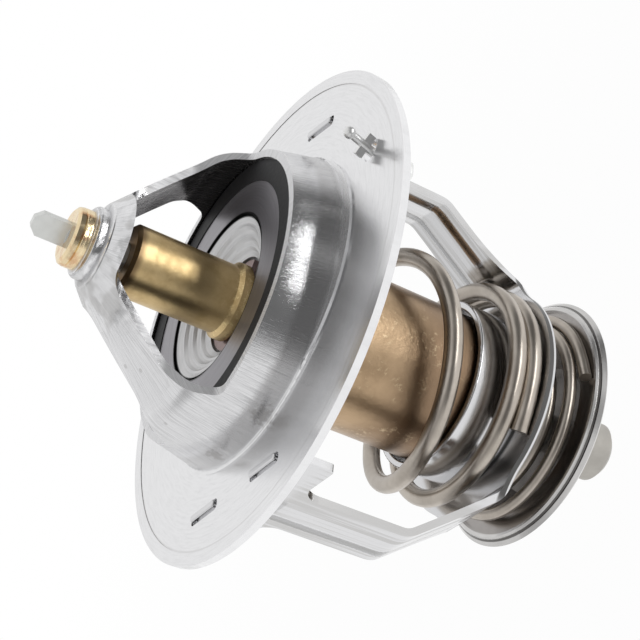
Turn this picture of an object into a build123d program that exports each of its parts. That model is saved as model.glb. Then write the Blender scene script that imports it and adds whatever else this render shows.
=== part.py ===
from build123d import *
from math import atan2, ceil, copysign, cos, pi, radians, sin, sqrt
import os

# Engine thermostat with a bypass valve, in millimetres.
# The origin is the centre of the flange's top face. +Z runs along the axis to the piston's tip,
# and +X runs through one arm of the bell and through the first leg of the lower frame.

# Sheet of the two frames
sheet = 0.8

# Flange of the upper frame
flange_radius = 27.0
rim_band_width = 1.46
rim_step = 0.05

# Bell of the upper frame: the outside of the sheet
bell_foot_radius = 17.17
bell_knee_radius = 15.27
bell_knee_height = 8.0
bell_crown_radius = 4.4
bell_crown_height = 18.3
bell_foot_fillet = 0.35
bell_knee_fillet = 5.0
bell_crown_fillet = 0.9
neck_radius = 3.8
neck_height = 1.2
ledge_width = 1.23
ledge_height = 0.25
ledge_shift = 3.6

# Windows of the bell: they leave two arms, which widen to the sill
window_sill = 5.05
window_top_cover = 1.6
arm_width = 5.8
arm_flare_height = 9.95
arm_flare = 2.75
window_sill_fillet = 1.3
window_flare_fillet = 2.2
window_top_fillet = 1.0

# Legs of the lower frame
leg_reach = 21.0
second_leg_inset = 0.7
leg_width = 7.1
leg_bend_height = -18.2
leg_bend_radius = 3.0
second_leg_angle = 168.0
foot_width = 19.6
foot_depth = 4.7
foot_fillet = 2.0
foot_corner = 0.5
tab_offset = 5.9
tab_length = 4.8
tab_stand = 0.22
tab_fillet = 0.2
tab_corner = 0.3
slot_gap = 0.06
slot_opening = 0.34
slot_corner = 0.45

# Plate of the lower frame, with its collar round the wax cup
plate_radius = 13.05
plate_top = -28.0
plate_bend_radius = 2.0
plate_fillet = 9.0
collar_radius = 9.7
collar_height = 6.3
collar_rim_fillet = 0.25

# Piston, fixed in the bell's apex
piston_radius = 1.6
piston_bottom = -19.0
piston_neck_radius = 0.95
blade_top = 24.8
blade_width = 2.5
blade_thickness = 0.9
blade_angle = 32.6
blade_corner = 0.75

# Bush that is crimped in the bell's apex
bush_body_radius = 2.2
bush_head_radius = 3.1
bush_tier_height = 0.85
bush_top_height = 0.8
bush_groove = 0.12
bush_top_round = 0.24
bush_top_inset = 0.48
bush_lip_radius = 3.0
bush_lip_height = 0.6

# Guide of the wax element
guide_radius = 3.7
guide_top = 15.1
guide_chamfer = 0.4
guide_bulge_radius = 4.15
guide_bulge_height = 1.8
guide_foot = 2.1
guide_neck_radius = 3.4
piston_clearance = 0.05
guide_seal_radius = 2.6
guide_seal_height = 1.0
guide_seal_cover = 0.7

# Wax cup, crimped round the guide's flange
cup_radius = 8.48
cup_wall = 0.7
cup_bottom = -27.0
cup_top = 1.2
cup_crimp = 0.7
cup_lip_gap = 1.4
cup_floor = 1.6
cup_corner = 0.8
guide_flange_height = 2.4

# Inside of the wax element
boot_radius = 3.6
boot_clearance = 0.1
boot_floor = 2.0
boot_flange_height = 1.3
backup_height = 0.8

# Main valve: a flat band round a groove and a dished, ridged hub
valve_top = 4.6
valve_sheet = 0.8
valve_band_inset = 2.2675
valve_hub_radius = 8.85
valve_hub_drop = 0.15
valve_groove_width = 0.3
valve_groove_depth = 0.7
dish_foot_radius = 5.25
dish_foot_height = 2.3
valve_ridges = (6.1, 7.0, 7.9)
valve_ridge_height = 0.14
valve_ridge_width = 0.3
seal_cover = 1.3
seal_thickness = 0.6
seal_lift = 0.1
seal_clearance = 0.15
clip_radius = 5.0
clip_thickness = 0.55
clip_opening = 150.0
clip_angle = 72.0

# Main spring, from the plate to the underside of the valve
spring_wire = 2.0
spring_low_radius = 12.1
spring_high_radius = 12.3
spring_turns = 5.1
spring_closed_turns = 1.0
spring_start_angle = 48.0

# Bypass stem, valve and spring
stem_radius = 2.2
stem_head_radius = 3.4
stem_end = -45.2
stem_chamfer = 0.6
stem_grip = 1.2
disc_radius = 14.34
disc_sheet = 0.7
disc_lip_top = -33.75
disc_lip_width = 0.85
disc_lip_flat = 0.3
disc_ledge_radius = 10.4
disc_ledge_depth = 0.45
disc_floor_radius = 7.4
disc_depth = 3.4
disc_bore_clearance = 0.08
bypass_wire = 1.35
bypass_low_radius = 11.65
bypass_high_radius = 6.9
bypass_turns = 3.6
bypass_closed_turns = 0.75
bypass_start_angle = 24.0
coil_points_per_turn = 12
coil_ramp_turns = 0.5
coil_gap = 0.04

# Jiggle pin in the flange
jiggle_inset = 5.0
jiggle_angle = 109.4
jiggle_hole = 1.05
jiggle_shaft = 0.42
jiggle_head = 0.62
jiggle_head_height = 2.75
jiggle_ear_length = 2.4
jiggle_ear_height = 0.8
jiggle_ear_thickness = 0.6
jiggle_ear_lift = 0.37
jiggle_ear_angle = 140.0
jiggle_lean = 14.0
jiggle_weight_radius = 1.7
jiggle_weight_height = 2.2
jiggle_play = 1.65
jiggle_weight_chamfer = 0.5

# What follows from the sizes above
ledge_radius = bell_foot_radius + ledge_width
window_top = bell_crown_height - window_top_cover
legs = ((0.0, leg_reach), (second_leg_angle, leg_reach - second_leg_inset))
collar_top = plate_top + collar_height
jiggle_radius = flange_radius - jiggle_inset
flange_face = -rim_step
flange_under = -sheet
bell_crown_under = bell_crown_height - sheet
neck_top = bell_crown_height + neck_height
plate_under = plate_top - sheet
collar_bore = collar_radius - sheet
valve_under = valve_top - valve_sheet
clip_low = guide_foot - clip_thickness
cup_inner_radius = cup_radius - cup_wall
piston_bore = piston_radius + piston_clearance
bush_top = neck_top + bush_tier_height + bush_top_height
disc_floor_under = disc_lip_top - disc_depth - disc_sheet
lip_step = cup_radius - cup_corner
bell_slope = (bell_foot_radius - bell_knee_radius) / bell_knee_height
bell_wall_across = sheet / cos(atan2(bell_foot_radius - bell_knee_radius, bell_knee_height))
valve_band_radius = bell_foot_radius - bell_slope * valve_under - valve_band_inset
seal_inner_radius = valve_band_radius - seal_cover


def revolved(points):
    """A solid of revolution about Z from (radius, height) points."""
    with BuildPart() as piece:
        with BuildSketch(Plane.XZ):
            with BuildLine():
                Polyline(*points, close=True)
            make_face()
        revolve(axis=Axis.Z)
    return piece.part


def tube(outer, inner, low, high):
    """A plain round tube between two heights."""
    return revolved([(inner, low), (outer, low), (outer, high), (inner, high)])


def rod(radius, low, high):
    """A plain round rod between two heights."""
    return Pos(0, 0, low) * Cylinder(radius, high - low, align=(Align.CENTER, Align.CENTER, Align.MIN))


def at_angle(angle, solid):
    """The solid turned about Z."""
    return Rot(0, 0, angle) * solid


def slab(width_x, width_y, low, high):
    """A block centred on Z between two heights."""
    return Pos(0, 0, low) * Box(width_x, width_y, high - low, align=(Align.CENTER, Align.CENTER, Align.MIN))


def save(node, solid):
    """Writes one piece to its own file."""
    export_step(solid, f"parts/{node}.step")


def bell_outside(height):
    """Outside radius of the straight foot of the bell at a height below its knee."""
    return bell_foot_radius - bell_slope * height


def upper_frame():
    """Flange, bell, windows and neck, pressed from one sheet."""
    with BuildPart() as shell:
        with BuildSketch(Plane.XZ):
            with BuildLine() as line:
                outside = FilletPolyline(
                    (flange_radius, 0),
                    (bell_foot_radius, 0),
                    (bell_knee_radius, bell_knee_height),
                    (bell_crown_radius, bell_crown_height),
                    (bush_body_radius, bell_crown_height),
                    radius=(bell_foot_fillet, bell_knee_fillet, bell_crown_fillet),
                )
                offset(outside, amount=sheet, side=Side.LEFT)
            make_face()
        revolve(axis=Axis.Z)
    frame = shell.part + tube(neck_radius, bush_body_radius, bell_crown_under, neck_top)
    neck_edges = frame.edges().filter_by(GeomType.CIRCLE).group_by(Axis.Z)[-1]
    frame = fillet(neck_edges.sort_by(SortBy.RADIUS)[-1], neck_height / 2)
    # The face inside the rim band lies a step lower.
    rim_inner = flange_radius - rim_band_width
    frame -= tube(rim_inner, bell_foot_radius + bell_foot_fillet, -rim_step, sheet)
    for side in (-1, 1):
        frame += ledge(side)
        frame -= window(side)
    for angle, reach in legs:
        for side in (-1, 1):
            frame -= at_angle(angle, Pos(reach - sheet / 2, side * tab_offset, 0) * tab_slot(angle))
    frame -= at_angle(jiggle_angle, Pos(jiggle_radius, 0, 0) * rod(jiggle_hole, -2 * sheet, sheet))
    return frame


def ledge(side):
    """A low crescent round the foot of the bell below one window."""
    disc = Pos(0, side * ledge_shift, 0) * rod(ledge_radius - ledge_shift, flange_face, ledge_height)
    return disc - rod(bell_foot_radius - sheet / 2, flange_face - sheet, ledge_height + sheet)


def sector(middle, half_angle, low, high):
    """A wedge about Z, wide enough for the flange."""
    reach = 2 * flange_radius
    corners = [(0, 0)]
    for angle in (middle - half_angle, middle, middle + half_angle):
        corners.append((reach * cos(radians(angle)), reach * sin(radians(angle))))
    with BuildPart() as wedge:
        with BuildSketch(Plane.XY.offset(low)):
            with BuildLine():
                Polyline(*corners, close=True)
            make_face()
        extrude(amount=high - low)
    return wedge.part


def window(side):
    """The cutter of one window, seen along X: it stops at the sides of the two arms."""
    arm = side * arm_width / 2
    flared = side * (arm_width / 2 + arm_flare)
    beyond = side * flange_radius
    with BuildPart() as cutter:
        with BuildSketch(Plane.YZ):
            with BuildLine():
                FilletPolyline(
                    (beyond, window_sill),
                    (flared, window_sill),
                    (arm, arm_flare_height),
                    (arm, window_top),
                    (beyond, window_top),
                    radius=[0, window_sill_fillet, window_flare_fillet, window_top_fillet, 0],
                    close=True,
                )
            make_face()
        extrude(amount=flange_radius, both=True)
    return cutter.part


def tab_slot(angle):
    """The cutter for one tab of a leg, in the flange: it opens towards +X and +Y round the tab."""
    opening = copysign(slot_opening, cos(radians(angle)))
    length = tab_length + 2 * slot_gap + slot_opening
    width = sheet + 2 * slot_gap + slot_opening
    cutter = slab(width, length, -2 * sheet, sheet)
    cutter = fillet(cutter.edges().filter_by(Axis.Z), slot_corner)
    return Pos(opening / 2, opening / 2, 0) * cutter


def leg_outline():
    """The blank of a leg, seen along X: a broad foot and a narrow strap."""
    foot_low = flange_under - foot_depth
    half_foot = foot_width / 2
    half_leg = leg_width / 2
    with BuildPart() as blank:
        with BuildSketch(Plane.YZ):
            with BuildLine():
                FilletPolyline(
                    (-half_leg, plate_under),
                    (-half_leg, foot_low),
                    (-half_foot, foot_low),
                    (-half_foot, flange_under),
                    (half_foot, flange_under),
                    (half_foot, foot_low),
                    (half_leg, foot_low),
                    (half_leg, plate_under),
                    radius=[0, foot_fillet, foot_corner, 0, 0, foot_corner, foot_fillet, 0],
                    close=True,
                )
            make_face()
        extrude(amount=leg_reach + sheet)
    return blank.part


def leg_flare():
    """The web, seen along Z, that widens the slope of a leg into the round plate."""
    across = leg_width / 2 + plate_fillet
    reach = sqrt((plate_radius + plate_fillet) ** 2 - across**2)
    with BuildPart() as web:
        with BuildSketch(Plane.XY.offset(plate_under)):
            with BuildLine():
                Polyline((0, 0), (reach, -across), (reach, across), close=True)
            make_face()
            with Locations((reach, -across), (reach, across)):
                Circle(plate_fillet, mode=Mode.SUBTRACT)
        extrude(amount=leg_bend_height - plate_under)
    return web.part


def leg(reach):
    """One leg along +X: its foot under the flange, its strap and its slope to the plate's rim."""
    with BuildPart() as strap:
        with BuildSketch(Plane.XZ):
            with BuildLine():
                outside = FilletPolyline(
                    (0, plate_under),
                    (plate_radius + sheet / 2, plate_under),
                    (reach, leg_bend_height),
                    (reach, flange_under),
                    radius=(plate_bend_radius, leg_bend_radius),
                )
                offset(outside, amount=sheet, side=Side.LEFT)
            make_face()
        extrude(amount=flange_radius, both=True)
    piece = strap.part & (leg_outline() + leg_flare())
    tab = slab(sheet, tab_length, flange_under - sheet, tab_stand)
    tab = fillet(tab.edges().filter_by(Axis.Z), tab_corner)
    tab = fillet(tab.edges().group_by(Axis.Z)[-1], tab_fillet)
    for side in (-1, 1):
        piece += Pos(reach - sheet / 2, side * tab_offset, 0) * tab
    return piece


def lower_frame():
    """Two legs and the spring's plate with its collar, pressed from one sheet."""
    frame = tube(plate_radius, collar_bore, plate_under, plate_top)
    collar = tube(collar_radius, collar_bore, plate_under, collar_top)
    frame += fillet(collar.edges().group_by(Axis.Z)[-1], collar_rim_fillet)
    for angle, reach in legs:
        frame += at_angle(angle, leg(reach))
    frame -= rod(collar_bore, plate_under - sheet, collar_top + sheet)
    return frame


def piston():
    """Rod with a reduced neck, flattened to a blade at its tip."""
    shoulder = bell_crown_under - bush_lip_height
    body = rod(piston_radius, piston_bottom, shoulder)
    body += rod(piston_neck_radius, shoulder, bush_top)
    blade = slab(blade_thickness, blade_width, bush_top, blade_top)
    corners = blade.edges().filter_by(Axis.X).group_by(Axis.Z)[-1]
    blade = chamfer(corners, blade_corner)
    return body + at_angle(blade_angle, blade)


def piston_bush():
    """Two-tier bush, crimped above and below the bell's apex."""
    tier_top = neck_top + bush_tier_height
    middle = bush_head_radius - bush_groove
    points = [
        (piston_neck_radius, bell_crown_under - bush_lip_height),
        (bush_lip_radius, bell_crown_under - bush_lip_height),
        (bush_lip_radius, bell_crown_under),
        (bush_body_radius, bell_crown_under),
        (bush_body_radius, neck_top),
        (bush_head_radius, neck_top),
        (bush_head_radius, tier_top - bush_groove),
        (middle, tier_top),
        (bush_head_radius, tier_top + bush_groove),
        (middle, bush_top - bush_top_round),
        (bush_head_radius - bush_top_inset, bush_top),
        (piston_neck_radius, bush_top),
    ]
    return revolved(points)


def guide():
    """Tube that slides on the piston, with a bulged foot and a flange inside the cup."""
    seal_low = guide_top - guide_seal_cover - guide_seal_height
    points = [
        (piston_bore, cup_top - cup_crimp - guide_flange_height),
        (cup_inner_radius, cup_top - cup_crimp - guide_flange_height),
        (cup_inner_radius, cup_top - cup_crimp),
        (guide_neck_radius, cup_top - cup_crimp),
        (guide_neck_radius, guide_foot),
        (guide_bulge_radius - guide_chamfer, guide_foot),
        (guide_bulge_radius, guide_foot + guide_chamfer),
        (guide_bulge_radius, guide_foot + guide_bulge_height - guide_chamfer),
        (guide_radius, guide_foot + guide_bulge_height),
        (guide_radius, guide_top - guide_chamfer),
        (guide_radius - guide_chamfer, guide_top),
        (piston_bore, guide_top),
        (piston_bore, guide_top - guide_seal_cover),
        (guide_seal_radius, guide_top - guide_seal_cover),
        (guide_seal_radius, seal_low),
        (piston_bore, seal_low),
    ]
    return revolved(points)


def guide_seal():
    """Ring seal in the top of the guide."""
    high = guide_top - guide_seal_cover
    return tube(guide_seal_radius, piston_bore, high - guide_seal_height, high)


def wax_cup():
    """Drawn cup with a thick floor, its lip crimped over the guide's flange."""
    lip = guide_neck_radius + cup_lip_gap
    flange_under_side = cup_top - cup_crimp - guide_flange_height
    points = [
        (stem_radius, cup_bottom),
        (cup_radius - cup_corner, cup_bottom),
        (cup_radius, cup_bottom + cup_corner),
        (cup_radius, cup_top - cup_corner),
        (cup_radius - cup_corner, cup_top),
        (lip, cup_top),
        (lip, cup_top - cup_crimp),
        (cup_inner_radius, cup_top - cup_crimp),
        (cup_inner_radius, flange_under_side),
        (cup_inner_radius, cup_bottom + cup_floor),
        (stem_radius, cup_bottom + cup_floor),
    ]
    return revolved(points)


def boot_heights():
    """Heights of the rubber boot: its flange's top, its flange's underside and its closed end."""
    top = cup_top - cup_crimp - guide_flange_height - backup_height
    return top, top - boot_flange_height, piston_bottom - boot_clearance - boot_floor


def backup_washer():
    """Washer that keeps the rubber from creeping up beside the piston."""
    high = cup_top - cup_crimp - guide_flange_height
    return tube(cup_inner_radius, piston_bore, high - backup_height, high)


def rubber_boot():
    """Sleeve closed at its lower end, which the wax squeezes against the piston."""
    top, flange_low, low = boot_heights()
    bore = piston_radius + boot_clearance
    points = [
        (0, low),
        (boot_radius, low),
        (boot_radius, flange_low),
        (cup_inner_radius, flange_low),
        (cup_inner_radius, top),
        (bore, top),
        (bore, piston_bottom - boot_clearance),
        (0, piston_bottom - boot_clearance),
    ]
    return revolved(points)


def wax_pellet():
    """Wax charge between the cup and the rubber boot."""
    flange_low = boot_heights()[1]
    low = boot_heights()[2]
    stem_top = cup_bottom + cup_floor + stem_grip
    points = [
        (stem_head_radius, cup_bottom + cup_floor),
        (cup_inner_radius, cup_bottom + cup_floor),
        (cup_inner_radius, flange_low),
        (boot_radius, flange_low),
        (boot_radius, low),
        (0, low),
        (0, stem_top),
        (stem_head_radius, stem_top),
    ]
    return revolved(points)


def dish_height(radius):
    """Height of the hub's cone at a radius."""
    slope = (valve_top - valve_hub_drop - dish_foot_height) / (valve_hub_radius - dish_foot_radius)
    return dish_foot_height + slope * (radius - dish_foot_radius)


def main_valve():
    """Pressed plate: a flat band, a groove and a dished hub with low ridges."""
    groove_outer = valve_hub_radius + valve_groove_width
    groove_floor = valve_top - valve_groove_depth
    points = [
        (guide_neck_radius, cup_top),
        (lip_step, cup_top),
        (groove_outer + valve_sheet, valve_under),
        (valve_band_radius, valve_under),
        (valve_band_radius, valve_top),
        (groove_outer, valve_top),
        (groove_outer, groove_floor),
        (valve_hub_radius, groove_floor),
        (valve_hub_radius, valve_top - valve_hub_drop),
        (dish_foot_radius, dish_foot_height),
        (dish_foot_radius, clip_low),
        (guide_neck_radius, clip_low),
    ]
    plate = revolved(points)
    for radius in valve_ridges:
        inner, outer = radius - valve_ridge_width, radius + valve_ridge_width
        plate += revolved([
            (inner, dish_height(inner)),
            (outer, dish_height(outer)),
            (radius, dish_height(radius) + valve_ridge_height),
        ])
    return plate


def valve_seal():
    """Rubber ring moulded round the plate's rim, cone-shaped where it meets the bell."""
    low = valve_under - seal_thickness
    high = valve_top + seal_lift
    top_radius = bell_outside(high) - bell_wall_across - seal_clearance
    low_radius = bell_outside(valve_under) - bell_wall_across - seal_clearance
    points = [
        (seal_inner_radius, low),
        (low_radius - seal_thickness, low),
        (low_radius, valve_under),
        (top_radius, high),
        (seal_inner_radius, high),
        (seal_inner_radius, valve_top),
        (valve_band_radius, valve_top),
        (valve_band_radius, valve_under),
        (seal_inner_radius, valve_under),
    ]
    return revolved(points)


def valve_clip():
    """Open ring in the guide's neck, which holds the valve on the cup."""
    ring = tube(clip_radius, guide_neck_radius, clip_low, guide_foot)
    gap = sector(clip_angle, clip_opening / 2, clip_low - clip_thickness, guide_foot + clip_thickness)
    return ring - gap


def coil_height(turn, turns, closed_turns, closed_rise, open_rise):
    """Height of the wire above its first point: closed, ramped, open, and the same back at the top."""
    if turn > turns / 2:
        whole = 2 * coil_height(turns / 2, turns, closed_turns, closed_rise, open_rise)
        return whole - coil_height(turns - turn, turns, closed_turns, closed_rise, open_rise)
    height = closed_rise * min(turn, closed_turns)
    ramped = min(max(turn - closed_turns, 0), coil_ramp_turns)
    height += closed_rise * ramped + (open_rise - closed_rise) * ramped**2 / (2 * coil_ramp_turns)
    return height + open_rise * max(turn - closed_turns - coil_ramp_turns, 0)


def coil(wire, low, high, low_radius, high_radius, turns, closed_turns, start_angle):
    """A spring with closed ends: its wire follows points worked out turn by turn."""
    closed_rise = wire + coil_gap
    rise = high - low - wire
    open_turns = turns - 2 * closed_turns - coil_ramp_turns
    open_rise = (rise - closed_rise * (turns - open_turns)) / open_turns
    steps = ceil(turns * coil_points_per_turn)
    path = []
    for step in range(steps + 1):
        turn = turns * step / steps
        height = coil_height(turn, turns, closed_turns, closed_rise, open_rise)
        radius = low_radius + (high_radius - low_radius) * height / rise
        angle = radians(start_angle) + 2 * pi * turn
        path.append((radius * cos(angle), radius * sin(angle), low + wire / 2 + height))
    line = Edge.make_spline([Vector(*point) for point in path])
    section = Plane(origin=line @ 0, z_dir=line % 0) * Circle(wire / 2)
    return sweep(section, path=line, is_frenet=True)


def main_spring():
    """Spring between the plate of the lower frame and the valve."""
    return coil(spring_wire, plate_top, valve_under - seal_thickness, spring_low_radius, spring_high_radius,
                spring_turns, spring_closed_turns, spring_start_angle)


def bypass_stem():
    """Pin riveted in the cup's floor, with a thick end below the bypass valve."""
    points = [
        (0, stem_end),
        (stem_head_radius - stem_chamfer, stem_end),
        (stem_head_radius, stem_end + stem_chamfer),
        (stem_head_radius, disc_floor_under),
        (stem_radius, disc_floor_under),
        (stem_radius, cup_bottom + cup_floor),
        (stem_head_radius, cup_bottom + cup_floor),
        (stem_head_radius, cup_bottom + cup_floor + stem_grip),
        (0, cup_bottom + cup_floor + stem_grip),
    ]
    return revolved(points)


def bypass_valve():
    """Pressed dish whose upturned rim holds the wide end of the bypass spring."""
    bore = stem_radius + disc_bore_clearance
    ledge = disc_lip_top - disc_ledge_depth
    floor = disc_floor_under + disc_sheet
    points = [
        (bore, disc_floor_under),
        (disc_floor_radius, disc_floor_under),
        (disc_ledge_radius, ledge - disc_sheet),
        (disc_radius - disc_lip_flat, ledge - disc_sheet),
        (disc_radius, ledge - disc_sheet + disc_lip_flat),
        (disc_radius - disc_lip_width, disc_lip_top),
        (disc_radius - disc_lip_width - disc_lip_flat, disc_lip_top),
        (disc_radius - disc_lip_width - disc_lip_flat, ledge),
        (disc_ledge_radius, ledge),
        (disc_floor_radius, floor),
        (bore, floor),
    ]
    return revolved(points)


def bypass_spring():
    """Tapered spring between the bypass valve and the cup's floor."""
    ledge = disc_lip_top - disc_ledge_depth
    return coil(bypass_wire, ledge, cup_bottom, bypass_low_radius, bypass_high_radius,
                bypass_turns, bypass_closed_turns, bypass_start_angle)


def on_jiggle_hole(solid):
    """The solid leaned in the jiggle pin's hole."""
    lean = Rot(0, 0, jiggle_ear_angle) * Rot(0, jiggle_lean, 0) * Rot(0, 0, -jiggle_ear_angle)
    place = Rot(0, 0, jiggle_angle) * Pos(jiggle_radius, 0, -sheet / 2) * Rot(0, 0, -jiggle_angle)
    return place * lean * Pos(0, 0, sheet / 2) * solid


def jiggle_pin():
    """Pin with a round head and two pinched ears, loose in its hole."""
    low = -sheet - jiggle_play - jiggle_weight_height
    pin = rod(jiggle_shaft, low, jiggle_head_height)
    pin += Pos(0, 0, jiggle_head_height) * Sphere(jiggle_head)
    ears = slab(jiggle_ear_length, jiggle_ear_thickness, jiggle_ear_lift, jiggle_ear_lift + jiggle_ear_height)
    pin += at_angle(jiggle_ear_angle, ears)
    return on_jiggle_hole(pin)


def jiggle_weight():
    """Weight pressed on the pin's lower end, which shuts the hole when it lifts."""
    high = -sheet - jiggle_play
    low = high - jiggle_weight_height
    weight = rod(jiggle_weight_radius, low, high) - rod(jiggle_shaft, low, high)
    rims = weight.edges().filter_by(GeomType.CIRCLE).sort_by(SortBy.RADIUS)[-2:]
    return on_jiggle_hole(chamfer(rims, jiggle_weight_chamfer))


parts = {
    "upper_frame": upper_frame,
    "lower_frame": lower_frame,
    "piston": piston,
    "piston_bush": piston_bush,
    "guide": guide,
    "guide_seal": guide_seal,
    "wax_cup": wax_cup,
    "wax_pellet": wax_pellet,
    "rubber_boot": rubber_boot,
    "backup_washer": backup_washer,
    "main_valve": main_valve,
    "valve_seal": valve_seal,
    "valve_clip": valve_clip,
    "main_spring": main_spring,
    "bypass_stem": bypass_stem,
    "bypass_valve": bypass_valve,
    "bypass_spring": bypass_spring,
    "jiggle_pin": jiggle_pin,
    "jiggle_weight": jiggle_weight,
}

os.makedirs("parts", exist_ok=True)
for node, make in parts.items():
    save(node, make())
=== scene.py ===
# %% [markdown]
# # An engine thermostat on white
#
# The object is a thermostat for an engine's coolant: a polished flange with a bell over it, a brass wax
# element that slides on a fixed piston, a long spring that shuts the main valve, and a small spring with
# the bypass valve under it. Its shapes could be modelled again here, but the construction is loaded as a
# fixed frame, so they agree with the solids. What is left for Blender is the finish of every surface, the
# two springs as wires of their own, the light and the camera.

# %% Load the frame
import math

import bpy
from mathutils import Matrix, Vector


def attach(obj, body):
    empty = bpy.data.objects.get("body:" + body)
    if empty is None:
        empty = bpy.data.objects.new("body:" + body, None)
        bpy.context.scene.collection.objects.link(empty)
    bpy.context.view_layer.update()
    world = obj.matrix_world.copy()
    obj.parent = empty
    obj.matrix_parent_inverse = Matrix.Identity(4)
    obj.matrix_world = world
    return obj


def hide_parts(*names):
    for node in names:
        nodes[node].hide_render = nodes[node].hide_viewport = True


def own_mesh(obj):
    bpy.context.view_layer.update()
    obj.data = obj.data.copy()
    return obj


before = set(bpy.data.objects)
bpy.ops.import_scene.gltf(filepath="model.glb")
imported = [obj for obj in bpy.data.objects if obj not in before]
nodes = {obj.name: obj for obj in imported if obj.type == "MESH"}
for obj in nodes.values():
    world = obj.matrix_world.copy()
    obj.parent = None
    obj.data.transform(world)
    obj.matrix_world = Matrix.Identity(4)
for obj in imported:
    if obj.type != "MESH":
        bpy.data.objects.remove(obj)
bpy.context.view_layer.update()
MM = 0.001
bpy.ops.object.select_all(action="DESELECT")

# %% [markdown]
# ## Shader sums in plain Python
#
# A finish is a set of small sums: how far round the axis a point lies, how much grain there is, where a
# mark starts and ends. Each could be a list of Math nodes that are linked one by one, but a sum in Python
# is easier to read. So a small class wraps the output of a node, and each operator adds one Math node.

# %% A node's output that takes part in sums
class Value:
    """One output of a node. Python operators on it add Math nodes to its owner's tree."""

    def __init__(self, owner, socket):
        self.owner = owner
        self.socket = socket

    def __add__(self, other):
        return self.owner.calc("ADD", self, other)

    def __radd__(self, other):
        return self.owner.calc("ADD", other, self)

    def __sub__(self, other):
        return self.owner.calc("SUBTRACT", self, other)

    def __rsub__(self, other):
        return self.owner.calc("SUBTRACT", other, self)

    def __mul__(self, other):
        return self.owner.calc("MULTIPLY", self, other)

    def __rmul__(self, other):
        return self.owner.calc("MULTIPLY", other, self)

    def __truediv__(self, other):
        return self.owner.calc("DIVIDE", self, other)

    def __rtruediv__(self, other):
        return self.owner.calc("DIVIDE", other, self)

    def __pow__(self, other):
        return self.owner.calc("POWER", self, other)


print("a Value takes part in + - * / and **")

# %% [markdown]
# ## Nodes from one method
#
# Every node is made in the same way: its settings first, because some of them change its sockets, and then
# its sockets. Three layers of helpers rest on that method: plain nodes, patterns that several finishes
# share, and a material that holds them.

# %% Plain nodes
class Nodes:
    """Adds nodes to self.tree, which the classes built on this one provide."""

    def node(self, kind, settings=None, sockets=None, output=0):
        """Adds a node: first its settings, then the values or links of its sockets."""
        made = self.tree.nodes.new(kind)
        for name, value in (settings or {}).items():
            setattr(made, name, value)
        for key, value in (sockets or {}).items():
            self.feed(made.inputs[key], value)
        return Value(self, made.outputs[output])

    def feed(self, socket, value):
        """Links a Value to a socket, or sets the socket to a number or a colour."""
        if isinstance(value, Value):
            self.tree.links.new(value.socket, socket)
        elif socket.type == "RGBA" and len(value) == 3:
            socket.default_value = (*value, 1.0)
        else:
            socket.default_value = value

    def calc(self, operation, *terms):
        return self.node("ShaderNodeMath", {"operation": operation}, dict(enumerate(terms)))

    def place(self, output="Object"):
        """Where a point lies, in metres along the object's axes, or another output of that node."""
        return self.node("ShaderNodeTexCoord", output=output)

    def parts(self, vector):
        """The x, y and z of a vector."""
        return [self.node("ShaderNodeSeparateXYZ", sockets={0: vector}, output=i) for i in range(3)]

    def join(self, x, y, z):
        return self.node("ShaderNodeCombineXYZ", sockets={0: x, 1: y, 2: z})


print("plain nodes:", [name for name in vars(Nodes) if not name.startswith("_")])


# %% Patterns that several finishes share
class Patterns(Nodes):
    """Places round the axis, noise, masks, and the colours and normals they lead to."""

    def polar(self):
        """Angle round the object's axis, distance from it, and height."""
        x, y, z = self.parts(self.place())
        return self.calc("ARCTAN2", y, x), (x * x + y * y) ** 0.5, z

    def outward(self):
        """How a surface faces: 1 straight away from the axis, -1 straight towards it."""
        x, y, _ = self.parts(self.place())
        facing_x, facing_y, _ = self.parts(self.place("Normal"))
        return (x * facing_x + y * facing_y) / self.polar()[1]

    def noise(self, vector, scale, detail=3.0, rough=0.5):
        return self.node("ShaderNodeTexNoise", {"noise_dimensions": "3D"},
                         {"Vector": vector, "Scale": scale, "Detail": detail, "Roughness": rough})

    def drawn(self, detail=3.0, rough=0.5, **scales):
        """Noise drawn out into lines: angle, radius and height, each at its own scale, in the order given."""
        along = dict(zip(("angle", "radius", "height"), self.polar()))
        vector = self.join(*[along[name] * scale for name, scale in scales.items()])
        return self.noise(vector, 1.0, detail, rough)

    def band(self, value, low, high):
        """0 below low, 1 above high, smooth between; low may be the larger one."""
        return self.node("ShaderNodeMapRange", {"interpolation_type": "SMOOTHSTEP"},
                         {"Value": value, "From Min": low, "From Max": high, "To Min": 0.0, "To Max": 1.0})

    def strip(self, value, first, last):
        """1 between two limits. Each limit is a pair: where the strip is 0 and where it is 1."""
        return self.band(value, *first) * self.band(value, *last)

    def blend(self, share, first, second):
        """A colour between two colours."""
        return self.node("ShaderNodeMix", {"data_type": "RGBA"}, {0: share, 6: first, 7: second}, output=2)

    def bump(self, height, depth=MM):
        """A normal from a height times depth, which makes metres of it."""
        return self.node("ShaderNodeBump", sockets={"Strength": 1.0, "Distance": depth, "Height": height})


print("patterns:", [name for name in vars(Patterns) if not name.startswith("_")])


# %% A material
class Finish(Patterns):
    """A material with one shader, which set() feeds."""

    def __init__(self, name):
        self.name = name
        self.material = bpy.data.materials.new(name)
        self.material.use_nodes = True
        self.tree = self.material.node_tree
        self.shader = self.tree.nodes["Principled BSDF"]

    def set(self, **sockets):
        """Sets or links sockets of the shader, named with underscores for spaces."""
        for name, value in sockets.items():
            self.feed(self.shader.inputs[name.replace("_", " ")], value)


finishes = {}


def keep(finish):
    """Stores a finish under its own name, because its material gets a number if the name was taken."""
    finishes[finish.name] = finish
    print(finish.name, "nodes:", len(finish.tree.nodes))


print("a finish has:", [name for name in vars(Finish) if not name.startswith("_")])

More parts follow.
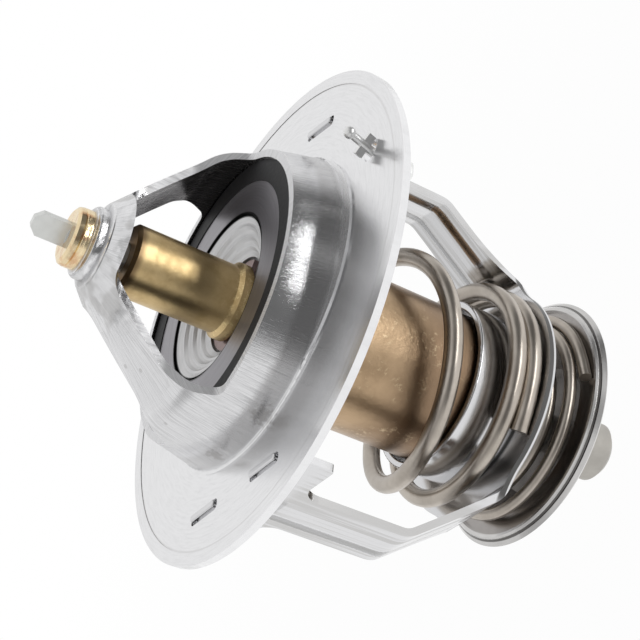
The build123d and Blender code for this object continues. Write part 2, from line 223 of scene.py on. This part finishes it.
# %% [markdown]
# ## Camera
#
# The photograph looks down on the flange from the side of the bell, with the axis lying across the
# picture. A wide lens close by would swell the bell, so a long lens stands 15 cm away. It could be aimed
# by three angles, but two directions say more: the way it looks and the way that is up in the picture.

# %% Camera
CAMERA_PLACE = Vector((86.5925, 113.2583, 53.5060)) * MM
CAMERA_LOOK = Vector((-0.56851, -0.72391, -0.39083)).normalized()
CAMERA_UP = Vector((-0.81857, 0.45034, 0.35656)).normalized()
CAMERA_LENS = 83.19
SENSOR_WIDTH = 36.0
NEAREST_SEEN = 10 * MM


def aim(obj, place, look, up):
    """Places a camera or lamp at a point, looking along a direction."""
    back = -look.normalized()
    right = up.cross(back).normalized()
    turned = Matrix((right, back.cross(right), back)).transposed()
    obj.matrix_world = Matrix.Translation(place) @ turned.to_4x4()


bpy.ops.object.camera_add()
camera = bpy.context.object
camera.data.lens = CAMERA_LENS
camera.data.sensor_width = SENSOR_WIDTH
camera.data.clip_start = NEAREST_SEEN
aim(camera, CAMERA_PLACE, CAMERA_LOOK, CAMERA_UP)
bpy.context.scene.camera = camera
print("camera at", [round(v, 4) for v in camera.location])

# %% [markdown]
# ## White room
#
# Polished steel shows the room. A product studio is white all round and darker on the side where the
# camera stands. Its walls could be sheets, but sheets have to be kept out of the picture from every side.
# A world has no shape: it is plain white for the camera, and for every other ray a room whose walls are
# told apart by two angles of the ray.

# %% The room's nodes
WHITE = (1.0, 1.0, 1.0)


class Room(Patterns):
    """The world, with the same helpers as a material."""

    def __init__(self):
        world = bpy.data.worlds.new("white_room")
        world.use_nodes = True
        bpy.context.scene.world = world
        self.tree = world.node_tree
        self.background = self.tree.nodes["Background"]
        x, y, z = self.parts(self.place("Generated"))
        degrees = 180 / math.pi
        self.azimuth = self.calc("ARCTAN2", y, x) * degrees
        self.elevation = self.calc("ARCSINE", z) * degrees

    def between(self, angle, low, high, soft):
        """1 between two angles, with soft ends."""
        return self.strip(angle, (low - soft, low + soft), (high + soft, high - soft))

    def patch(self, level, azimuths, elevations, soft, strength):
        """The level with one patch of the wall set to another strength."""
        share = self.between(self.azimuth, *azimuths, soft) * self.between(self.elevation, *elevations, soft)
        return level + share * (strength - level)


room = Room()
print("the ray's angles take", len(room.tree.nodes), "nodes")

# %% World
# For each patch: its azimuths and elevations in degrees, how soft its edge is, and its strength.
WALL_PATCHES = (
    ((-178, -85), (4, 50), 9, 0.88),  # behind the object, seen from the camera: brighter than the rest
    ((-50, 38), (14, 44), 9, 0.50),  # beside the dark side, over the first leg
    ((34, 164), (-60, 38), 10, 0.15),  # the dark side, where the camera stands
    ((75, 112), (42, 75), 9, 0.42),  # over the dark side
    ((101, 112), (-60, 42), 4, 0.42),  # a narrow strip in the dark side
)
ROOM_WHITE = 0.80

seen = ROOM_WHITE
for patch in WALL_PATCHES:
    seen = room.patch(seen, *patch)
camera_ray = room.node("ShaderNodeLightPath", output="Is Camera Ray")
room.feed(room.background.inputs["Strength"], camera_ray + (1 - camera_ray) * seen)
room.feed(room.background.inputs["Color"], WHITE)
print("world patches:", len(WALL_PATCHES))

# %% [markdown]
# ## Floor
#
# The floor is a plain pale sheet well below the object, wide enough to be what the steel shows below the
# room's dark side. More lamps would whiten it and would bleach the object too. So the floor has its own
# light, which only the camera, mirrors and glass see, and it still takes a faint shadow.

# %% Floor
FLOOR_HEIGHT = -130 * MM
FLOOR_RADIUS = 470 * MM
FLOOR_SIDES = 128
FLOOR_COLOUR = (0.9, 0.9, 0.9)
FLOOR_ROUGHNESS = 0.9
FLOOR_INNER = FLOOR_RADIUS / 3
FLOOR_OWN_LIGHT = 0.95  # as far as FLOOR_INNER; from there it grows to 1 at the floor's rim

bpy.ops.mesh.primitive_circle_add(
    vertices=FLOOR_SIDES, radius=FLOOR_RADIUS, fill_type="NGON", location=(0, 0, FLOOR_HEIGHT))
floor = bpy.context.object
floor.name = "floor"
pale = Finish("pale_floor")
pale.set(Base_Color=FLOOR_COLOUR, Roughness=FLOOR_ROUGHNESS)
to_eye, mirrored, through = [
    pale.node("ShaderNodeLightPath", output=kind)
    for kind in ("Is Camera Ray", "Is Glossy Ray", "Is Transmission Ray")
]
outer = pale.band(pale.polar()[1], FLOOR_INNER, FLOOR_RADIUS)
own_light = FLOOR_OWN_LIGHT + (1 - FLOOR_OWN_LIGHT) * outer
glow = pale.node("ShaderNodeEmission", sockets={"Color": WHITE, "Strength": 1.0})
lit = Value(pale, pale.shader.outputs[0])
share = (to_eye + mirrored + through) * own_light
surface = pale.node("ShaderNodeMixShader", sockets={0: share, 1: lit, 2: glow})
pale.feed(pale.tree.nodes["Material Output"].inputs["Surface"], surface)
floor.data.materials.append(pale.material)
bpy.ops.object.select_all(action="DESELECT")
print("floor radius in mm:", round(FLOOR_RADIUS / MM))

# %% [markdown]
# ## Lamp
#
# The bell has one long highlight. A bright patch of the world could draw it, but a lamp is placed and
# sized by itself, so one low softbox stands beside the camera.

# %% Lamp
def direction(azimuth, elevation):
    """A unit vector from two angles in degrees."""
    a, e = math.radians(azimuth), math.radians(elevation)
    return Vector((math.cos(a) * math.cos(e), math.sin(a) * math.cos(e), math.sin(e)))


def softbox(name, azimuth, elevation, distance, size, radiance):
    """An area lamp that looks at the object from two angles."""
    bpy.ops.object.light_add(type="AREA")
    lamp = bpy.context.object
    lamp.name = name
    lamp.data.shape = "RECTANGLE"
    lamp.data.size, lamp.data.size_y = size
    lamp.data.energy = radiance * math.pi * size[0] * size[1]
    lamp.visible_camera = False
    way = direction(azimuth, elevation)
    aim(lamp, way * distance, -way, Vector((0, 0, 1)))


softbox("low_softbox", azimuth=98, elevation=-14.6, distance=0.22, size=(0.18, 0.024), radiance=8.0)

# %% [markdown]
# ## Polish of the stainless sheet
#
# The flange and the bell are pressed from one sheet and then polished. The polish leaves fine lines, along
# the axis on the bell and round it on the flange. A picture of scratches would have to be unwrapped onto
# the sheet. Noise needs no unwrapping: it becomes lines when it gets the angle, the radius and the height
# at different scales.

# %% Polish lines
def polish_lines(steel, bell):
    """Lines along the axis on the bell, and round it on the flange."""
    along_axis = steel.drawn(angle=130, height=220, radius=60, detail=4.0, rough=0.75)
    round_axis = steel.drawn(angle=9, radius=3500, height=60, detail=4.0, rough=0.7)
    return along_axis * bell + round_axis * (1 - bell)


print("polish lines: along the axis and round it")

# %% [markdown]
# ## Marks and painted shade on the sheet
#
# The sheet is not even: it has small dull stains, a mottled neck and a line near the rim, and the foot of
# the bell's wall, where it meets the flange, is darkened as painted shade. Each mark is a mask with soft
# ends, and their weighted sum leads one duller colour, which is less to tune than a colour for each.

# %% Stains
# For each stain: its middle and its size in mm, and how ragged its edge is.
STAINS = (
    ((15.74, 6.33, 0.84), 1.5, 0.5),
    ((16.75, -1.61, 1.44), 1.1, 0.5),
    ((10.78, -1.72, 12.12), 0.35, 0.2),
    ((11.84, 0.17, 11.24), 0.3, 0.2),
    ((15.35, -1.56, 7.14), 0.3, 0.2),
)
STAIN_CORE = 0.4  # the share of a stain that has its full strength
FRAY_SCALE = 2200
FRAY_WIDTH = 4


def stain(steel, middle, size, ragged):
    """1 in a stain's middle and 0 outside it, with a ragged edge."""
    apart = [(part / MM - centre) ** 2 for part, centre in zip(steel.parts(steel.place()), middle)]
    fray = (steel.noise(steel.place(), FRAY_SCALE) - 0.5) * (size * ragged * FRAY_WIDTH)
    return steel.band(sum(apart) ** 0.5 + fray, size, size * STAIN_CORE)


print("stains:", len(STAINS))

# %% All marks, with the painted shade at the bell's foot
# Heights and distances from the axis are in mm, here and in all finishes below.
NECK_HEIGHTS = (13.5, 15.5)
FOOT_SHADE_HEIGHTS = (2.9, 2.0)
RIM_LINE = ((25.3, 25.45), (25.7, 25.5))
MOTTLE_NOISE = (0.46, 0.60)


def sheet_marks_and_shade(steel, bell):
    """How much the marks, and the painted shade at the bell's foot, darken the sheet, from 0 to 1."""
    _, radius, height = steel.polar()
    stains = sum(stain(steel, *each) for each in STAINS)
    mottle = steel.band(steel.noise(steel.place(), scale=330, detail=2.0), *MOTTLE_NOISE)
    neck = steel.band(height / MM, *NECK_HEIGHTS)
    # painted shade: the lowest 2 mm of the bell's wall, where it meets the flange, is darkened
    foot_shade = steel.band(height / MM, *FOOT_SHADE_HEIGHTS) * bell
    rim_line = steel.strip(radius / MM, *RIM_LINE) * (1 - bell)
    return stains * 0.42 + mottle * neck * 0.5 + foot_shade * 0.40 + rim_line * 0.25


print("marks: stains, neck, foot and rim line")

# %% [markdown]
# ## Relief of the sheet
#
# The bell's wall looks a little fuller than the straight cone of the construction: by its highlight, it
# stands steeper near the flange. The shape stays as it is, so the fullness is a bump, and with it go the
# polish lines, a faint wave and the crumple near the neck.

# %% Relief
# In mm, the fullness is WALL_LEAN * height - WALL_CURVE * height**3, up to the height WALL_END.
WALL_LEAN = 0.175
WALL_CURVE = 0.001814
WALL_END = 5.67
WALL_FACINGS = (0.5, 0.9)
CRUMPLE_HEIGHTS = (12.5, 16.0)


def sheet_relief(steel, bell, lines, cloud):
    """The height of the relief in mm."""
    height = steel.polar()[2] / MM
    wall = steel.calc("MINIMUM", height, WALL_END)
    full = (wall * WALL_LEAN - WALL_CURVE * wall**3) * steel.band(steel.outward(), *WALL_FACINGS)
    crumple = steel.noise(steel.place(), scale=340, detail=2.0) * steel.band(height, *CRUMPLE_HEIGHTS)
    return full + lines * (0.001 + 0.014 * bell) + cloud * 0.02 + crumple * 0.7


print("fullest by", round(WALL_LEAN * WALL_END - WALL_CURVE * WALL_END**3, 2), "mm")

# %% [markdown]
# ## Stainless sheet, put together
#
# The bell's inner side is painted dark grey as painted shade for the shadow inside the bell, and the windows'
# sheared edges are rough. They could be found by painting on the mesh, but the way a surface faces is
# enough: outside it faces away from the axis, inside towards it, and an edge does neither. In each sum
# below, the number beside a mask is its share, and the first number is what holds everywhere.

# %% Stainless sheet
BELL_HEIGHTS = (0.1, 0.6)
INSIDE_FACINGS = (-0.3, -0.5)
INSIDE_HEIGHTS = (-0.6, 0.0)
EDGE_FACINGS = ((0.45, 0.25), (-0.3, -0.1))
GRAIN_NOISE = (0.40, 0.70)
POLISHED = (0.86, 0.86, 0.87)
LINED = (0.64, 0.64, 0.65)
MARKED_AND_SHADED = (0.42, 0.41, 0.40)
INSIDE_SHADE = (0.25, 0.24, 0.24)


def stainless_sheet():
    steel = Finish("stainless_sheet")
    height = steel.polar()[2] / MM
    bell = steel.band(height, *BELL_HEIGHTS)
    flat = 1 - bell
    inside = steel.band(steel.outward(), *INSIDE_FACINGS) * steel.band(height, *INSIDE_HEIGHTS)
    edge = steel.strip(steel.outward(), *EDGE_FACINGS) * bell
    lines = polish_lines(steel, bell)
    grain = steel.band(lines, *GRAIN_NOISE)
    cloud = steel.noise(steel.place(), scale=110)
    worn = steel.blend(grain * (0.25 + 0.75 * bell), POLISHED, LINED)
    # the marks' duller colour also carries the painted shade at the bell's foot
    outside = steel.blend(sheet_marks_and_shade(steel, bell), worn, MARKED_AND_SHADED)
    steel.set(
        # painted shade: the bell's inner side gets a dark grey base colour
        Base_Color=steel.blend(inside, outside, INSIDE_SHADE),
        Metallic=1.0,
        Roughness=(0.06 + grain * (0.04 + 0.17 * bell) + edge * 0.4
                   + flat * 0.11 + inside * 0.10 + cloud * 0.04),
        Normal=steel.bump(sheet_relief(steel, bell, lines, cloud)),
    )
    return steel


keep(stainless_sheet())

# %% [markdown]
# ## Mill sheet of the lower frame
#
# Both legs and the plate under the long spring are one stamping, with the plain finish of rolled sheet and
# faint streaks down the legs. A rib stiffens each leg. It could be modelled, but the construction has flat
# legs and stays as it is, so the rib is a bump. The upper band of the plate's sheared edge, under the coil,
# is painted near black: it is the duller fracture band of the cut with a painted shadow of the coil on it.
# The plate's underside is darkened as painted shade.

# %% Across a leg
SECOND_LEG = math.radians(168)  # the first leg is at 0
SIDES_MEET = 0.5 * MM


def across_leg(steel):
    """Distance in mm from the middle line of the leg on this side."""
    x, y, _ = steel.parts(steel.place())
    second = steel.band(x, SIDES_MEET, -SIDES_MEET)
    from_second = x * math.sin(SECOND_LEG) - y * math.cos(SECOND_LEG)
    return (y * (1 - second) + second * from_second) / MM


print("the second leg is at", round(math.degrees(SECOND_LEG)), "degrees")

# %% Mill sheet
LEG_HEIGHTS = ((-27.0, -26.0), (-3.5, -5.5))
LEG_RADII = (13.0, 14.0)
RIB = ((-2.6, -0.9), (2.6, 0.9))
SHADED_EDGE_HEIGHTS = ((-28.58, -28.5), (-27.6, -27.9))
SHADED_EDGE_FACINGS = (0.6, 0.8)
UNDERSIDE_SHADE = (-28.7, -28.9)
STREAK_NOISE = (0.42, 0.60)
MILLED = (0.72, 0.72, 0.73)
STREAKED = (0.58, 0.575, 0.57)
SHEARED_AND_SHADED = (0.05, 0.048, 0.045)


def leg_steel():
    steel = Finish("leg_steel")
    x, _, z = steel.parts(steel.place())
    height, radius = z / MM, steel.polar()[1] / MM
    across = across_leg(steel)
    cloud = steel.noise(steel.place(), scale=160)
    streaks = steel.noise(steel.join(across * 1.6, x * 40, z * 40), scale=1.0)
    leg = steel.strip(height, *LEG_HEIGHTS) * steel.band(radius, *LEG_RADII)
    rib = steel.strip(across, *RIB) * leg
    sheared_and_shaded = steel.strip(height, *SHADED_EDGE_HEIGHTS) * steel.band(steel.outward(), *SHADED_EDGE_FACINGS)
    below = steel.band(height, *UNDERSIDE_SHADE)
    plain = steel.blend(steel.band(streaks, *STREAK_NOISE) * leg, MILLED, STREAKED)
    steel.set(
        # painted shadow of the coil on the upper band of the plate's edge, and painted shade on its underside
        Base_Color=steel.blend(sheared_and_shaded * 0.9 + below * 0.35, plain, SHEARED_AND_SHADED),
        Metallic=1.0,
        Roughness=0.15 + cloud * 0.06 + sheared_and_shaded * 0.2,
        Normal=steel.bump(rib * 0.45 + streaks * leg * 0.03 + cloud * 0.04),
    )
    return steel


keep(leg_steel())

# %% [markdown]
# ## Dish of the bypass valve
#
# The dish is pressed and its rim is rolled. From the rim inwards come a bright lip, a dark line and a
# duller, stained floor. One finish with masks by radius does this without cutting the dish into pieces.

# %% Dish
LIP_LINE = ((13.66, 13.76), (13.98, 13.88))
LIP_LINE_HEIGHTS = (-34.3, -34.2)
DISH_FLOOR = (13.3, 13.0)
RIM_TONES = ((0.74, 0.73, 0.72), (0.56, 0.55, 0.54))
STAINED_TONES = ((0.46, 0.44, 0.42), (0.30, 0.28, 0.27))
LINE_DARK = (0.06, 0.055, 0.05)


def dish_steel():
    steel = Finish("dish_steel")
    _, radius, height = steel.polar()
    cloud = steel.noise(steel.place(), scale=240, detail=4.0, rough=0.6)
    lines = steel.drawn(angle=6, radius=2500, height=900)
    dark_line = steel.strip(radius / MM, *LIP_LINE) * steel.band(height / MM, *LIP_LINE_HEIGHTS)
    stained = steel.band(radius / MM, *DISH_FLOOR)
    plain = steel.blend(stained, steel.blend(lines, *RIM_TONES), steel.blend(cloud, *STAINED_TONES))
    steel.set(
        Base_Color=steel.blend(dark_line * 0.85, plain, LINE_DARK),
        Metallic=1.0,
        Roughness=0.12 + cloud * 0.10 + stained * 0.08,
        Normal=steel.bump(lines * 0.004 + cloud * 0.03 - dark_line * 0.1),
    )
    return steel


keep(dish_steel())

# %% [markdown]
# ## Main valve
#
# The valve is turned in one go. Its hub is bright, its flat band is duller with a purple tinge, and the
# groove between them gets a painted shadow, nearly black. The turning lines are too fine to be placed one
# by one, so they are noise that runs round the axis.

# %% Valve
FLAT_BAND = (8.86, 8.95)
GROOVE = ((8.7, 8.82), (9.35, 9.2))
HUB_TONES = ((0.74, 0.74, 0.74), (0.50, 0.50, 0.51))
BAND_TONES = ((0.36, 0.35, 0.37), (0.27, 0.26, 0.28))
GROOVE_SHADOW = (0.02, 0.02, 0.02)


def valve_steel():
    steel = Finish("valve_steel")
    radius = steel.polar()[1] / MM
    turned = steel.drawn(angle=2, radius=4000, height=500)
    flat_band = steel.band(radius, *FLAT_BAND)
    plain = steel.blend(flat_band, steel.blend(turned, *HUB_TONES), steel.blend(turned, *BAND_TONES))
    steel.set(
        # painted shadow: the groove between hub and band is darkened nearly to black
        Base_Color=steel.blend(steel.strip(radius, *GROOVE), plain, GROOVE_SHADOW),
        Metallic=0.9,
        Roughness=0.30 + turned * 0.12,
        Normal=steel.bump(turned, 0.02 * MM),
    )
    return steel


keep(valve_steel())

# %% [markdown]
# ## Brass
#
# Brass differs from piece to piece, so one finish for all of it would be too plain. The guide is polished
# and golden, dark brown at its tip, with painted shade at its foot by the valve, and its bulge is pitted.
# The cup is drawn, etched and brown, darker towards its closed end, with rubbed patches of bright specks.
# The bush is pale, with a reddish cloud.

# %% Guide
GUIDE_TIP = (13.9, 14.6)
GUIDE_FOOT_SHADE = (2.55, 2.35)
GUIDE_BULGE = (4.3, 3.8)
GUIDE_CLOUD = (0.40, 0.70)
PIT_NOISE = (0.50, 0.66)
GOLD_TONES = ((0.72, 0.54, 0.28), (0.62, 0.45, 0.22))
GOLD_WORN = (0.95, 0.78, 0.42)
TIP_DARK_AND_FOOT_SHADE = (0.16, 0.09, 0.05)


def guide_brass():
    metal = Finish("guide_brass")
    height = metal.polar()[2] / MM
    turned = metal.drawn(angle=3, radius=900, height=1800)
    cloud = metal.band(metal.noise(metal.place(), scale=420, detail=4.0, rough=0.6), *GUIDE_CLOUD)
    pits = metal.noise(metal.place(), scale=2600, rough=0.7)
    tip = metal.band(height, *GUIDE_TIP)
    foot_shade = metal.band(height, *GUIDE_FOOT_SHADE)
    bulge = metal.band(height, *GUIDE_BULGE)
    worn_share = metal.band(pits, *PIT_NOISE) * (0.12 + bulge * 0.6)
    worn = metal.blend(worn_share, metal.blend(cloud, *GOLD_TONES), GOLD_WORN)
    metal.set(
        # the tip is dark brown, and the foot by the valve gets painted shade in the same colour
        Base_Color=metal.blend(tip * 0.75 + foot_shade * 0.8, worn, TIP_DARK_AND_FOOT_SHADE),
        Metallic=1.0,
        Roughness=0.31 + turned * 0.08 + cloud * 0.06,
        Normal=metal.bump(turned * 0.008 + cloud * 0.012 + pits * (0.003 + bulge * 0.03)),
    )
    return metal


keep(guide_brass())

# %% Cup
CUP_DARKENING = (-11.0, -19.0)
CUP_CLOUD = (0.35, 0.70)
RUBBED_CLOUD = (0.48, 0.60)
RUBBED_SPECKS = (0.52, 0.68)
CUP_TONES = ((0.52, 0.37, 0.23), (0.38, 0.265, 0.16))
CUP_DARK_END = (0.22, 0.145, 0.095)
CUP_RUBBED = (0.85, 0.68, 0.45)


def cup_brass():
    metal = Finish("cup_brass")
    cloud = metal.noise(metal.place(), scale=220, detail=4.0, rough=0.6)
    specks = metal.noise(metal.place(), scale=1700, detail=4.0, rough=0.7)
    low = metal.band(metal.polar()[2] / MM, *CUP_DARKENING)
    rubbed = metal.band(cloud, *RUBBED_CLOUD) * metal.band(specks, *RUBBED_SPECKS)
    plain = metal.blend(metal.band(cloud, *CUP_CLOUD), *CUP_TONES)
    # darker towards the cup's closed end
    darkened = metal.blend(low * 0.75, plain, CUP_DARK_END)
    metal.set(
        Base_Color=metal.blend(rubbed * 0.5, darkened, CUP_RUBBED),
        Metallic=1.0,
        Roughness=0.26 + cloud * 0.12,
        Normal=metal.bump(specks * 0.03 + cloud * 0.05),
    )
    return metal


keep(cup_brass())

# %% Bush
BUSH_CLOUD = (0.45, 0.7)
BUSH_TONES = ((0.95, 0.78, 0.50), (0.80, 0.52, 0.30))


def bush_brass():
    metal = Finish("bush_brass")
    turned = metal.drawn(angle=2, radius=2500, height=2500)
    cloud = metal.noise(metal.place(), scale=900)
    metal.set(
        Base_Color=metal.blend(metal.band(cloud, *BUSH_CLOUD), *BUSH_TONES),
        Metallic=1.0,
        Roughness=0.16 + turned * 0.10,
        Normal=metal.bump(turned * 0.02 + cloud * 0.06),
    )
    return metal


keep(bush_brass())

# %% [markdown]
# ## Spring wire
#
# Spring wire is drawn steel with a warm satin grey. Drawing leaves lines along the wire, which would need
# a direction that turns with the coil. At this size they are too fine to be told apart, so specks of noise
# stand for them.

# %% Spring wire
WIRE_CLOUD = (0.3, 0.7)
WIRE_TONES = ((0.56, 0.51, 0.45), (0.44, 0.395, 0.345))


def spring_steel():
    metal = Finish("spring_steel")
    cloud = metal.noise(metal.place(), scale=260, detail=4.0, rough=0.6)
    speck = metal.noise(metal.place(), scale=2600, detail=2.0)
    metal.set(
        Base_Color=metal.blend(metal.band(cloud, *WIRE_CLOUD), *WIRE_TONES),
        Metallic=1.0,
        Roughness=0.27 + speck * 0.06,
        Normal=metal.bump(speck, 0.003 * MM),
    )
    return metal


keep(spring_steel())

# %% [markdown]
# ## Plain finishes
#
# The piston, the clip, the stem, the loose pin and the soft or hidden pieces carry no marks. Each could
# have its own function, but what they share is written once: one noise leads a colour between two near
# tones, the roughness from its least value up, and in some of them a faint bump.

# %% Plain finishes
PLAIN_FINISHES = {
    "piston_steel": dict(scale=900, metallic=0.9, roughness=(0.34, 0.14), depth=0.03,
                         tones=((0.86, 0.87, 0.85), (0.72, 0.73, 0.71))),
    "clip_copper": dict(scale=700, metallic=1.0, roughness=(0.28, 0.1),
                        tones=((0.36, 0.27, 0.26), (0.25, 0.18, 0.17))),
    "stem_steel": dict(scale=600, detail=4.0, rough=0.6, metallic=0.85, roughness=(0.40, 0.14), depth=0.05,
                       tones=((0.56, 0.54, 0.50), (0.42, 0.40, 0.37))),
    "pin_steel": dict(scale=1400, detail=2.0, metallic=0.8, roughness=(0.30, 0.10), depth=0.03,
                      tones=((0.95, 0.95, 0.94), (0.84, 0.84, 0.84))),
    "black_rubber": dict(scale=2400, roughness=(0.48, 0.2), depth=0.02, shine=0.3,
                         tones=((0.012, 0.012, 0.013), (0.024, 0.024, 0.026))),
    "wax": dict(scale=300, roughness=(0.45, 0.1),
                tones=((0.55, 0.33, 0.16), (0.42, 0.24, 0.12))),
    "washer_polymer": dict(scale=500, detail=2.0, roughness=(0.4, 0.1),
                           tones=((0.75, 0.74, 0.70), (0.68, 0.67, 0.63))),
}


def plain_finish(name, scale, tones, roughness, detail=3.0, rough=0.5, metallic=0.0, depth=0.0, shine=0.5):
    """A finish that one noise leads. Its roughness is a least value and a range, its depth is in mm."""
    finish = Finish(name)
    cloud = finish.noise(finish.place(), scale, detail, rough)
    least, more = roughness
    finish.set(
        Base_Color=finish.blend(cloud, *tones),
        Metallic=metallic,
        Roughness=least + cloud * more,
        Specular_IOR_Level=shine,
    )
    if depth:
        finish.set(Normal=finish.bump(cloud, depth * MM))
    return finish


for name, numbers in PLAIN_FINISHES.items():
    keep(plain_finish(name, **numbers))

# %% [markdown]
# ## Finishes on the construction
#
# Each solid of the construction keeps its shape and only gets its finish. Faces could have several
# finishes, but one with masks keeps every piece whole. The two solid springs are left out of the table,
# because the springs below replace them.

# %% Finishes on the nodes
NODE_FINISHES = {
    "upper_frame": "stainless_sheet",
    "lower_frame": "leg_steel",
    "piston": "piston_steel",
    "piston_bush": "bush_brass",
    "guide": "guide_brass",
    "guide_seal": "black_rubber",
    "wax_cup": "cup_brass",
    "wax_pellet": "wax",
    "rubber_boot": "black_rubber",
    "backup_washer": "washer_polymer",
    "main_valve": "valve_steel",
    "valve_seal": "black_rubber",
    "valve_clip": "clip_copper",
    "bypass_stem": "stem_steel",
    "bypass_valve": "dish_steel",
    "jiggle_pin": "pin_steel",
    "jiggle_weight": "pin_steel",
}
for name, finish in NODE_FINISHES.items():
    mesh = nodes[name].data
    mesh.materials.clear()
    mesh.materials.append(finishes[finish].material)
print("dressed:", len(NODE_FINISHES))

# %% [markdown]
# ## Path of a spring's wire
#
# A coil spring is one wire. Its ends lie closed on their seats, and between them the pitch grows and
# shrinks again. A Screw modifier would give one even pitch, so the points of the path are worked out turn
# by turn: first how far the wire has climbed, then how far it is from the axis.

# %% The path of a spring's wire
POINTS_A_TURN = 16
RAMP = 0.5  # turns over which the pitch grows from closed to open, and shrinks again


def ramped(turn):
    """Turns that count as open after a ramp that starts at 0."""
    inside = min(max(turn, 0), RAMP)
    return inside**2 / (2 * RAMP) + max(turn - RAMP, 0)


def coil_points(wire, low, high, radii, taper, turns, closed, closed_rise, start):
    """Centre line of a wire from one seat to the other, with closed turns at its low and high end.

    The radius goes from its low to its high value over the first turns that taper says. closed_rise is
    the height that a closed turn takes, and start is the angle of the low end in degrees.
    """
    rise = high - low - wire
    open_share = turns - closed[0] - closed[1] - RAMP
    more_rise = (rise - closed_rise * turns) / open_share
    steps = math.ceil(turns * POINTS_A_TURN)
    points = []
    for step in range(steps + 1):
        turn = turns * step / steps
        opened = ramped(turn - closed[0]) - ramped(turn - (turns - closed[1] - RAMP))
        height = closed_rise * turn + more_rise * opened
        share = min(turn / taper, 1)
        radius = radii[0] + (radii[1] - radii[0]) * share**2 * (3 - 2 * share)
        angle = math.radians(start) + 2 * math.pi * turn
        points.append((radius * math.cos(angle), radius * math.sin(angle), low + wire / 2 + height))
    return points


print("points a turn:", POINTS_A_TURN)

# %% [markdown]
# ## Wire along a path
#
# The wire could be a circle that is extruded again and again. A curve with a round section does the same
# in one step and keeps the section square to the path. Its caps make flat cut ends, as on a real spring.
# The curve is then made a mesh.

# %% A wire along a path
CURVE_ORDER = 4
STEPS_A_POINT = 6
SECTION_STEPS = 6
MERGE_PARTS = 1000  # points closer than the wire's thickness over this become one
SMOOTH_BELOW = math.radians(40)


def wire_piece(name, points, wire, finish):
    """A round wire with flat cut ends, made a mesh."""
    bpy.ops.curve.primitive_nurbs_path_add(radius=1.0, location=(0, 0, 0))
    piece = bpy.context.object
    piece.name = name
    curve = piece.data
    spline = curve.splines[0]
    spline.points.add(len(points) - len(spline.points))
    for point, place in zip(spline.points, points):
        point.co = (*place, 1.0)
        point.radius = 1.0
    spline.order_u = CURVE_ORDER
    spline.use_endpoint_u = True
    spline.resolution_u = STEPS_A_POINT
    curve.bevel_depth = wire / 2
    curve.bevel_resolution = SECTION_STEPS
    curve.use_fill_caps = True
    bpy.ops.object.convert(target="MESH")
    piece = bpy.context.object
    bpy.ops.object.mode_set(mode="EDIT")
    bpy.ops.mesh.select_all(action="SELECT")
    bpy.ops.mesh.remove_doubles(threshold=wire / MERGE_PARTS)
    bpy.ops.mesh.normals_make_consistent(inside=False)
    bpy.ops.object.mode_set(mode="OBJECT")
    piece.data.materials.clear()
    piece.data.materials.append(finish.material)
    bpy.ops.object.shade_smooth_by_angle(angle=SMOOTH_BELOW)
    bpy.ops.object.select_all(action="DESELECT")
    print(name, "faces:", len(piece.data.polygons))
    return piece


print("curve order:", CURVE_ORDER)

# %% [markdown]
# ## Main spring
#
# It stands on the lower frame's plate and presses the main valve onto its seat. When the valve opens, the
# spring is squeezed towards the plate, so it rides on the frame.

# %% Main spring
MAIN_WIRE = 2.0 * MM
PLATE_TOP = -28.0 * MM
VALVE_SEAT = 3.2 * MM
main_points = coil_points(
    MAIN_WIRE, PLATE_TOP, VALVE_SEAT, radii=(12.1 * MM, 12.3 * MM), taper=5.1, turns=5.1,
    closed=(1.28, 1.56), closed_rise=MAIN_WIRE + 0.04 * MM, start=48)
main_coil = wire_piece("main_coil", main_points, MAIN_WIRE, finishes["spring_steel"])
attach(main_coil, "frame")
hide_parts("main_spring")
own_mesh(main_coil)

# %% [markdown]
# ## Bypass spring
#
# It stands in the dish on its widest turns, narrows as it climbs, and ends under the cup. The dish slides
# up to the cup, so this spring rides on the element. Most of its taper lies in the low turns, because what
# rises into the lower frame's collar has to be narrower than that collar.

# %% Bypass spring
BYPASS_WIRE = 1.35 * MM
LEDGE_TOP = -34.2 * MM
CUP_BOTTOM = -27.0 * MM
bypass_points = coil_points(
    BYPASS_WIRE, LEDGE_TOP, CUP_BOTTOM, radii=(12.1 * MM, 6.9 * MM), taper=3.4, turns=3.9,
    closed=(2.25, 0.3), closed_rise=0.95 * MM, start=88)
bypass_coil = wire_piece("bypass_coil", bypass_points, BYPASS_WIRE, finishes["spring_steel"])
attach(bypass_coil, "element")
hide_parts("bypass_spring")
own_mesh(bypass_coil)

# %% [markdown]
# ## Closing
#
# The view transform stays plain, so that a colour shows as it is written.

# %% Close
bpy.context.scene.view_settings.view_transform = "Standard"
